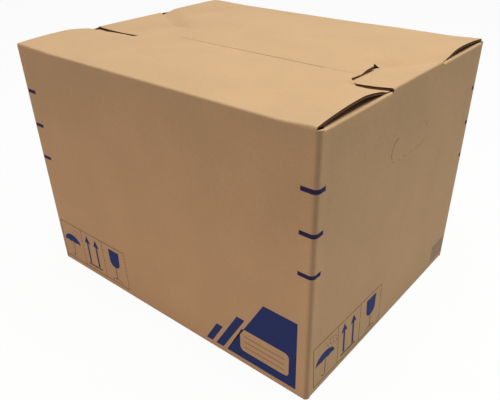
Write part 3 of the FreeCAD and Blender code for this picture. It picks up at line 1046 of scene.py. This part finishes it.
# %% Wings
WING_DROP = {"left": 2.5, "right": 1.8}
WING_DEPTH = 150.0
WING_TAPER = 25.0
WING_FALL = 18.0
WING_SHOULDER = 3.0
WING_GRID = 10.0
WING_FIRST, WING_LAST = 7.0, 394.0
SLIT_FRONT = TONGUE_FRONT - 1.2
SLIT_BACK = TONGUE_BACK + 3.0

# Where each wing starts and stops along the panel: at its crease and just beyond it
WINGS = {
    "front": ((WING_FIRST, 14.0), (120.0, SLIT_FRONT)),
    "back": ((SLIT_BACK, 287.0), (387.0, WING_LAST)),
}


def wing_rise(v, inward):
    """The wings slope down evenly from their crease."""
    return -(inward - FOLD_RADIUS) * WING_FALL / WING_DEPTH


def wings(side):
    """Both wings of one end panel."""
    for end, ((root_start, start), (stop, root_stop)) in WINGS.items():
        board_flap(
            "top_wing_%s_%s" % (side, end),
            side,
            [
                (root_start, FOLD_RADIUS),
                (start, FOLD_RADIUS + WING_SHOULDER),
                (start + WING_TAPER, WING_DEPTH),
                (stop, WING_DEPTH),
                (stop, FOLD_RADIUS + WING_SHOULDER),
                (root_stop, FOLD_RADIUS),
            ],
            HEIGHT - WING_DROP[side],
            wing_rise,
            grid=WING_GRID,
        )


for side in ("left", "right"):
    tongue(side)
    wings(side)
print("four wings reach", WING_DEPTH, "mm under the lid")

# %% [markdown]
# The bottom
#
# Underneath, the carton closes like any other: two short flaps inside, two long ones over them
# that meet in the middle. The long ones lie level, so a few cuts are enough for them. The short
# ones step up from their crease on to the long ones, which needs a finer grid.

# %% Bottom flaps
BOTTOM_GAP = 1.0
BOTTOM_INSET = 11.0
BOTTOM_SHORT = 199.0
BOTTOM_CLIMB = 7.0
BOTTOM_SHOULDER = 2.0
BOTTOM_GRID = 30.0
TOE = 0.8
short_start = BOARD + FLAP_INSET


def climb(along, inward):
    """The short flaps leave their crease near the floor and step up on to the long ones."""
    return -(LAP_LEVEL - TOE) * soft_step((inward - FOLD_RADIUS) / BOTTOM_CLIMB)


for side in ("front", "back"):
    reach = WIDTH / 2 - BOTTOM_GAP / 2
    root = FOLD_RADIUS + BOTTOM_SHOULDER
    board_flap(
        "bottom_flap_" + side,
        side,
        [
            (flap_left, FOLD_RADIUS),
            (BOTTOM_INSET, root),
            (BOTTOM_INSET, reach),
            (LENGTH - BOTTOM_INSET, reach),
            (LENGTH - BOTTOM_INSET, root),
            (flap_right, FOLD_RADIUS),
        ],
        0.0,
        upward=-1,
        grid=BOTTOM_GRID,
    )
for side in ("left", "right"):
    start, stop = short_start, WIDTH - short_start
    board_flap(
        "bottom_flap_" + side,
        side,
        [(start, FOLD_RADIUS), (start, BOTTOM_SHORT), (stop, BOTTOM_SHORT), (stop, FOLD_RADIUS)],
        TOE,
        climb,
        upward=-1,
    )
print("bottom flaps meet with a gap of", BOTTOM_GAP, "mm")

# %% [markdown]
# The walls
#
# The four walls are one long strip that turns three corners and ends in a glue tab inside the
# fourth. The strip is drawn flat too, with steps in its top and bottom edges where the flaps
# start, and then wrapped round the plan of the box. `wrap` walks along that plan.

# %% Path round the walls
GLUE_FILM = 0.2
JOINT_STEP = 0.8
TAB_WIDTH = 35.0
EXACT = 1e-6
tab_face = WIDTH - BOARD - GLUE_FILM

# Runs of the outer face: u, v, heading in degrees from +u, and length. A run without a length is
# a quarter turn to the right about u, v.
RUNS = (
    (JOINT_STEP, WIDTH, 0, LENGTH - CORNER_RADIUS - JOINT_STEP),
    (LENGTH - CORNER_RADIUS, WIDTH - CORNER_RADIUS, 0, None),
    (LENGTH, WIDTH - CORNER_RADIUS, -90, WIDTH - 2 * CORNER_RADIUS),
    (LENGTH - CORNER_RADIUS, CORNER_RADIUS, -90, None),
    (LENGTH - CORNER_RADIUS, 0, -180, LENGTH - 2 * CORNER_RADIUS),
    (CORNER_RADIUS, CORNER_RADIUS, -180, None),
    (0, CORNER_RADIUS, -270, tab_face - 2 * CORNER_RADIUS),
    (CORNER_RADIUS, tab_face - CORNER_RADIUS, -270, None),
    (CORNER_RADIUS, tab_face, -360, TAB_WIDTH - CORNER_RADIUS),
)


def path_of(runs):
    """Start and stop along the strip, point, heading and radius of each run."""
    path = []
    stop = 0.0
    for u, v, heading, length in runs:
        radius = None if length else CORNER_RADIUS
        start, stop = stop, stop + (length or CORNER_RADIUS * math.pi / 2)
        path.append((start, stop, Vector((u, v)), heading, radius))
    return path


def wrap(along, z, deep):
    """Place of a point of the wall strip, `along` the outer face and deep in the board."""
    for start, stop, point, heading, radius in PATH:
        if along <= stop + EXACT:
            break
    angle = math.radians(heading)
    if radius is None:
        way = Vector((math.cos(angle), math.sin(angle)))
        outward = Vector((-way.y, way.x))
        spot = point + way * (along - start) - outward * deep
    else:
        angle -= (along - start) / radius
        outward = Vector((-math.sin(angle), math.cos(angle)))
        spot = point + outward * (radius - deep)
    return place(spot.x, spot.y, z)


PATH = path_of(RUNS)
STRIP_LENGTH = PATH[-1][1]
print("wall strip is", round(STRIP_LENGTH, 1), "mm long")

# %% Places along the strip
RIGHT_START, FRONT_START, LEFT_START = PATH[2][0], PATH[4][0], PATH[6][0]


def on_back(u):
    """Distance along the strip of a place on the back panel."""
    return u - JOINT_STEP


def on_right(v):
    """Distance along the strip of a place on the right end panel."""
    return RIGHT_START + (WIDTH - CORNER_RADIUS - v)


def on_front(u):
    """Distance along the strip of a place on the front panel."""
    return FRONT_START + (LENGTH - CORNER_RADIUS - u)


def on_left(v):
    """Distance along the strip of a place on the left end panel."""
    return LEFT_START + (v - CORNER_RADIUS)


print("panels start at", [round(run[0], 1) for run in PATH[::2]])

# %% [markdown]
# Edges of the strip
#
# The blank's wall has no straight top edge. Wherever a flap starts, the wall ends a little lower,
# because the flap's own piece brings a strip of wall with it. Between flaps the slits run down to
# the crease. Each step below is one such span, with the level at which the wall ends.

# %% Edges of the strip
CORNER_NOTCH = 1.0
slit_top = HEIGHT - FOLD_RADIUS
flap_top = slit_top - WALL_STRIP
flap_bottom = FOLD_RADIUS + WALL_STRIP


def steps(spans, plain):
    """Edge of the strip: level `plain`, and other levels over the given spans."""
    edge = [(0.0, plain)]
    reached = 0.0
    for start, stop, level in sorted(spans):
        if start > reached + EXACT:
            edge += [(reached, plain), (start, plain)]
        edge += [(start, level), (stop, level)]
        reached = stop
    return edge + [(reached, plain), (STRIP_LENGTH, plain)]


def without_repeats(points):
    """Outline without points that repeat the one before."""
    kept = []
    for x, y in points:
        if not kept or abs(x - kept[-1][0]) + abs(y - kept[-1][1]) > EXACT:
            kept.append((x, y))
    return kept


def end_panel_spans(side, on_side):
    """Levels of an end panel's top edge: wing, slit, tongue, slit and wing."""
    drop = WING_DROP[side]
    spans = (
        (WING_FIRST, SLIT_FRONT, flap_top - drop),
        (SLIT_FRONT, TONGUE_FRONT, slit_top),
        (TONGUE_FRONT, TONGUE_BACK, flap_top + TONGUE_LIFT[side]),
        (TONGUE_BACK, SLIT_BACK, slit_top - drop),
        (SLIT_BACK, WING_LAST, flap_top - drop),
    )
    return [(*sorted((on_side(start), on_side(stop))), level) for start, stop, level in spans]


top_spans = [
    (on_back(flap_left), on_back(flap_right), flap_top),
    (on_front(flap_right), on_front(flap_left), flap_top),
]
top_spans += end_panel_spans("right", on_right) + end_panel_spans("left", on_left)
bottom_spans = [
    (on_back(flap_left), on_back(flap_right), flap_bottom),
    (on_front(flap_right), on_front(flap_left), flap_bottom),
    (on_right(WIDTH - short_start), on_right(short_start), TOE + flap_bottom),
    (on_left(short_start), on_left(WIDTH - short_start), TOE + flap_bottom),
]
lower_edge = steps(bottom_spans, CORNER_NOTCH)
upper_edge = steps(top_spans, HEIGHT - CORNER_NOTCH)
wall_outline = without_repeats(lower_edge + upper_edge[::-1])
print("wall outline has", len(wall_outline), "points")

# %% [markdown]
# Hand holes and painted shade at the corners
#
# Each end panel has a hand hole that nobody has pushed in yet. The die cut its outline right
# through the board, but left short bridges at the bottom, and the top is only creased. What shows
# is a hairline that comes and goes. So the cuts are real slits in the walls, each a narrow closed
# shape, and the widest is the one at the near end, where the flap stands off a little. At the
# corners of the box the crease is pressed in. Its shadow is painted shade, not a shape, with a band
# of painted light just before it, and the walls store both point by point for the paper's colour.

# %% Cuts of the hand holes
HAND_FRONT, HAND_BACK = 153.5, 246.0
HAND_LOW, HAND_HIGH = 262.5, 293.0
KERF = 0.8
THIN_KERF = 0.5
HAIR_KERF = 0.45
HAND_RADIUS = (HAND_HIGH - HAND_LOW) / 2
HAND_MIDDLE = (HAND_LOW + HAND_HIGH) / 2
HAND_NEAR, HAND_FAR = HAND_FRONT + HAND_RADIUS, HAND_BACK - HAND_RADIUS


def hand_arc(centre, start, stop, steps_count):
    return circle_arc(centre, HAND_MIDDLE, HAND_RADIUS, HAND_RADIUS, start, stop, steps_count)


def hand_line(start, stop):
    return [(start, HAND_LOW), (stop, HAND_LOW)]


def hand_cuts(on_side):
    """Cut lines of the hand hole flap. It is still closed: short bridges and its top hold it."""
    cuts = (
        (hand_arc(HAND_NEAR, 96, 212, 12), KERF),
        (hand_arc(HAND_NEAR, 232, 250, 3), THIN_KERF),
        (hand_line(HAND_NEAR + 2, HAND_NEAR + 9), HAIR_KERF),
        (hand_line(HAND_NEAR + 16, HAND_NEAR + 24), HAIR_KERF),
        (hand_line(HAND_NEAR + 31, HAND_FAR - 20), HAIR_KERF),
        (hand_line(HAND_FAR - 13, HAND_FAR), THIN_KERF),
        (hand_arc(HAND_FAR, 285, 312, 4), THIN_KERF),
        (hand_arc(HAND_FAR, 15, 60, 5), THIN_KERF),
    )
    return [[(on_side(v), z) for v, z in stroke(path, width)] for path, width in cuts]


print("each hand hole has", len(hand_cuts(on_right)), "cuts")

# %% Painted shade and light along the corners
CORNER_STEPS = 8
BESIDE_CORNER = (3.0, 9.0, 16.0)
# Painted shade in the crease and a band of painted light before it, as shares of the paper's colour.
CREASE_PAINTED_SHADE, CREASE_WIDTH = 0.32, 5.0
PAINTED_LIGHT_BAND, PAINTED_LIGHT_PLACE, PAINTED_LIGHT_WIDTH = 0.05, 10.0, 9.0
corner_cuts = []
corner_middles = []
for start, stop, _, _, radius in PATH:
    if radius is not None:
        corner_middles.append((start + stop) / 2)
        for reach in BESIDE_CORNER:
            corner_cuts += [start - reach, stop + reach]
        corner_cuts += [start] + evenly(start, stop, (stop - start) / CORNER_STEPS) + [stop]


def painted_corner_shading(along):
    """Painted shade along a pressed crease, and painted light on the board just before it."""
    distance = min(abs(along - middle) for middle in corner_middles)
    dark = CREASE_PAINTED_SHADE * soft_step(1 - distance / CREASE_WIDTH)
    return dark - PAINTED_LIGHT_BAND * soft_step(1 - abs(distance - PAINTED_LIGHT_PLACE) / PAINTED_LIGHT_WIDTH)


print("corners at", [round(middle, 1) for middle in corner_middles], "mm along the strip")

# %% Walls
SMOOTH_BELOW = 30  # degrees between two faces
wall_pattern = flat_pattern(wall_outline, corner_cuts, [])
for on_side in (on_right, on_left):
    cut_holes(wall_pattern, on_side(WIDTH / 2), hand_cuts(on_side))
walls = Sheets()
# The walls carry painted shade along each corner crease and painted light beside it.
walls.add(wall_pattern, wrap, lambda along: 0.0, lambda along: BOARD, painted_shading=painted_corner_shading)
wall_pattern.free()
wall_piece = walls.finish("walls", [outer_paper, raw_paper_and_shade], SMOOTH_BELOW)
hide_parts("carton")
print("walls", len(wall_piece.data.polygons), "faces")

# %% [markdown]
# Printing
#
# The signs are the common ones for goods in transit: an umbrella for keep dry, two arrows for
# this way up and a glass for fragile. Each is a flat outline in its own frame, which is then laid
# on a panel, a hair's breadth in front of the paper. Curves are worked out from circles.

# %% Shapes that can be printed
SKIN = 0.08
INK_LIFT = 0.03


def printed(name, shapes, lay, material, cuts=(), holes=()):
    """Thin closed skins of ink; lay(x, y, deep) gives their place on the carton."""
    sheets = Sheets()
    for shape in shapes:
        pattern = flat_pattern(shape, cuts, [])
        if holes:
            cut_holes(pattern, holes[0][0][0], holes)
        many_sided = [face for face in pattern.faces if len(face.verts) > 4]
        bmesh.ops.triangulate(pattern, faces=many_sided)
        sheets.add(
            pattern, lay, lambda along: -SKIN, lambda along: INK_LIFT, inner_look=0, edge_look=0
        )
        pattern.free()
    piece = sheets.finish(name, [material], SMOOTH_BELOW)
    print(name, len(piece.data.polygons), "faces")
    return piece


def on_front_panel(x, y, deep):
    """Place on the front panel, x from its left end and y from the floor."""
    return place(x, deep, y)


def on_right_panel(x, y, deep):
    """Place on the right end panel, x from its front end and y from the floor."""
    return place(LENGTH - deep, x, y)


print("ink stands", SKIN, "mm on the paper")


# %% [markdown]
# Transit signs
#
# Sizes here are in millimetres inside the strip of three cells, from its lower left corner. Every
# sign gives two lists of outlines, because the large shapes were printed with more ink than the
# thin lines.

# %% Umbrella
SCALLOP = 6.83


def umbrella():
    """Canopy with three scallops, a hooked shaft and seven drops of rain."""
    canopy = circle_arc(24.5, 32.5, 20.5, 14.5, 0, 180)
    for i in range(3):
        middle = 4.0 + SCALLOP + 2.0 * SCALLOP * i
        canopy += circle_arc(middle, 31.6, SCALLOP, 2.2, 180, 0, 6)[1:]
    hook = circle_arc(21.0, 9, 3.2, 3.6, 0, -180, 8)[1:]
    shaft = stroke([(25.2, 33), (24.2, 9)] + hook, 1.5)
    drops = []
    for row, (start, level) in enumerate(((29.0, 52.5), (33.5, 59.0))):
        for i in range(4 - row):
            x, y = start + 6.5 * i, level - 1.6 * i
            drops.append(stroke([(x, y + 1.6), (x + 2.0, y - 2.0)], 0.9))
    return [canopy[:-1]], [shaft] + drops


print("umbrella has", len(umbrella()[1]) - 1, "drops")

# %% Arrows and glass
def arrows():
    """Two arrows that stand on a bar."""
    solid = []
    for x in (67.3, 89.0):
        solid.append([(x, 61.5), (x - 6.8, 48), (x + 6.8, 48)])
        solid.append(bar(x - 2.0, 10, x + 2.0, 48.2))
    return solid, [bar(61, 5.8, 96, 8.8)]


def glass():
    """Stemmed glass with a full bowl."""
    round_bottom = circle_arc(133.5, 40, 11.3, 10.6, 180, 360)[1:-1]
    bowl = [(121.5, 61), (122.2, 40)] + round_bottom + [(144.8, 40), (146, 61)]
    foot = circle_arc(133.5, 3.6, 10.5, 3.8, 180, 0, 10)
    return [bowl], [bar(132.7, 7, 134.3, 30), stroke(foot, 1.3)]


print("arrows", len(arrows()[0]), "shapes, glass", len(glass()[0]) + len(glass()[1]), "shapes")

# %% Frame of the signs
STRIP_WIDTH = 160.0
STRIP_HEIGHT = 67.5
CELL_ENDS = (53.0, 106.0, STRIP_WIDTH)
FRAME_LINE = 1.1


def dashes(x0, y0, x1, y1, dash=4.0, gap=1.6):
    """Broken line between two points."""
    start, stop = Vector((x0, y0)), Vector((x1, y1))
    way = (stop - start).normalized()
    length = (stop - start).length
    found = []
    at = 0.0
    while at < length:
        end = min(at + dash, length)
        found.append(stroke([tuple(start + way * at), tuple(start + way * end)], FRAME_LINE))
        at += dash + gap
    return found


def frame_lines():
    """Whole lines on three sides, broken ones after each cell."""
    lines = [
        stroke([(0, 0), (STRIP_WIDTH, 0)], FRAME_LINE),
        stroke([(0, STRIP_HEIGHT), (STRIP_WIDTH, STRIP_HEIGHT)], FRAME_LINE),
        stroke([(0, 0), (0, STRIP_HEIGHT)], FRAME_LINE),
    ]
    for x in CELL_ENDS:
        lines += dashes(x, 0, x, STRIP_HEIGHT)
    return lines


print("frame has", len(frame_lines()), "strokes")

# %% Signs on the two panels
solid_signs = []
line_signs = frame_lines()
for sign in (umbrella, arrows, glass):
    solid, lines = sign()
    solid_signs += solid
    line_signs += lines

FRONT_STRIP = (9.0, 10.0)
RIGHT_STRIP = (14.5, 10.0)
RIGHT_STRETCH = 1.03
RIGHT_LEAN = -0.06
RIGHT_FALL = -0.015


def front_strip(x, y, deep):
    """Place in the front panel's strip."""
    return on_front_panel(FRONT_STRIP[0] + x, FRONT_STRIP[1] + y, deep)


def right_strip(x, y, deep):
    """Place in the end panel's strip, which was printed slightly askew."""
    spot = RIGHT_STRIP[0] + x * RIGHT_STRETCH + y * RIGHT_LEAN
    height = RIGHT_STRIP[1] + y + (x - STRIP_WIDTH / 2) * RIGHT_FALL
    return on_right_panel(spot, height, deep)


for panel, lay in (("front", front_strip), ("right", right_strip)):
    printed("signs_solid_" + panel, solid_signs, lay, solid_ink)
    printed("signs_lines_" + panel, line_signs, lay, line_ink)

# %% [markdown]
# Height marks
#
# Three short bars show where a lower box can be cut and folded. At the near corner they run round
# the crease, so they use the wall's own path, cut as finely as the wall is there.

# %% Height marks
MARK_BOTTOMS = (187.3, 239.3, 290.3)
MARK_HEIGHT = 5.4
NEAR_MARKS = (14.8, 482.2)
LEFT_MARK_END = 24.0
FAR_MARK_LENGTH = 7.5


def mark_set(name, start, stop, cuts=()):
    """Three marks, one over the other, between two places along the wall strip."""
    shapes = [bar(start, bottom, stop, bottom + MARK_HEIGHT) for bottom in MARK_BOTTOMS]
    return printed(name, shapes, wrap, mark_ink, cuts=cuts)


far_start = WIDTH - CORNER_RADIUS
mark_set("height_marks_near", on_right(NEAR_MARKS[0]), on_front(NEAR_MARKS[1]), corner_cuts)
mark_set("height_marks_left", on_front(LEFT_MARK_END), on_front(CORNER_RADIUS))
mark_set("height_marks_far", on_right(far_start), on_right(far_start - FAR_MARK_LENGTH))

# %% [markdown]
# The blue field
#
# Cartons often carry one large solid print low on a panel. This one is a plain design: a solid
# shape with a slanting edge, two slanting bars beside it, and a window left free in it, with ruled
# lines to write on. The window is a real hole in the skin of ink, so the paper itself shows.

# %% Blue field
SLANT = 0.58
FIELD_BOTTOM, FIELD_TOP = 10.0, 118.0
FIELD_LEFT, FIELD_RIGHT = 372.0, 485.0
WINDOW = (396, 24, 474, 62)
WINDOW_RADIUS = 7
RULE_LEFT, RULE_RIGHT, RULE_WIDTH = 403, 467, 0.8
RULE_LEVELS = (32, 41, 50)


def slanted(left, right, top):
    """Bar whose two sides lean to the right."""
    shift = (top - FIELD_BOTTOM) * SLANT
    return [(left, FIELD_BOTTOM), (right, FIELD_BOTTOM), (right + shift, top), (left + shift, top)]


def rounded_box(x0, y0, x1, y1, radius):
    """Rectangle with round corners."""
    points = []
    for x, y, start in (
        (x1 - radius, y0 + radius, -90),
        (x1 - radius, y1 - radius, 0),
        (x0 + radius, y1 - radius, 90),
        (x0 + radius, y0 + radius, 180),
    ):
        points += circle_arc(x, y, radius, radius, start, start + 90, 6)
    return points


left_top = FIELD_LEFT + (FIELD_TOP - FIELD_BOTTOM) * SLANT
field = [
    (FIELD_LEFT, FIELD_BOTTOM),
    (FIELD_RIGHT, FIELD_BOTTOM),
    (FIELD_RIGHT, FIELD_TOP),
    (left_top, FIELD_TOP),
]
window = rounded_box(*WINDOW, WINDOW_RADIUS)
field_bars = [slanted(352, 365, 78), slanted(334, 345, 46)]
rules = [bar(RULE_LEFT, level, RULE_RIGHT, level + RULE_WIDTH) for level in RULE_LEVELS]
printed("blue_field", [field], on_front_panel, solid_ink, holes=[window])
printed("blue_field_bars", field_bars, on_front_panel, solid_ink)
printed("blue_field_rules", rules, on_front_panel, line_ink)

# %% [markdown]
# Fine stripes
#
# The far lower corner of the end panel carries a small block of thin stripes. From where the
# viewer stands they run together to a grey tone, so their ink is thin and lets the paper through.

# %% Fine stripes low on the end panel
STRIPE_INK = (0.20, 0.15, 0.17)
STRIPE_LEFT, STRIPE_RIGHT = 350, 395
STRIPE_BOTTOM, STRIPE_WIDTH, STRIPE_PITCH = 12, 1.5, 3.2
STRIPE_COUNT = 10

stripe_ink = ink("stripe_ink", STRIPE_INK, thin_spots=0.4)
stripes = []
for i in range(STRIPE_COUNT):
    level = STRIPE_BOTTOM + STRIPE_PITCH * i
    stripes.append(bar(STRIPE_LEFT, level, STRIPE_RIGHT, level + STRIPE_WIDTH))
printed("end_stripes", stripes, on_right_panel, stripe_ink)
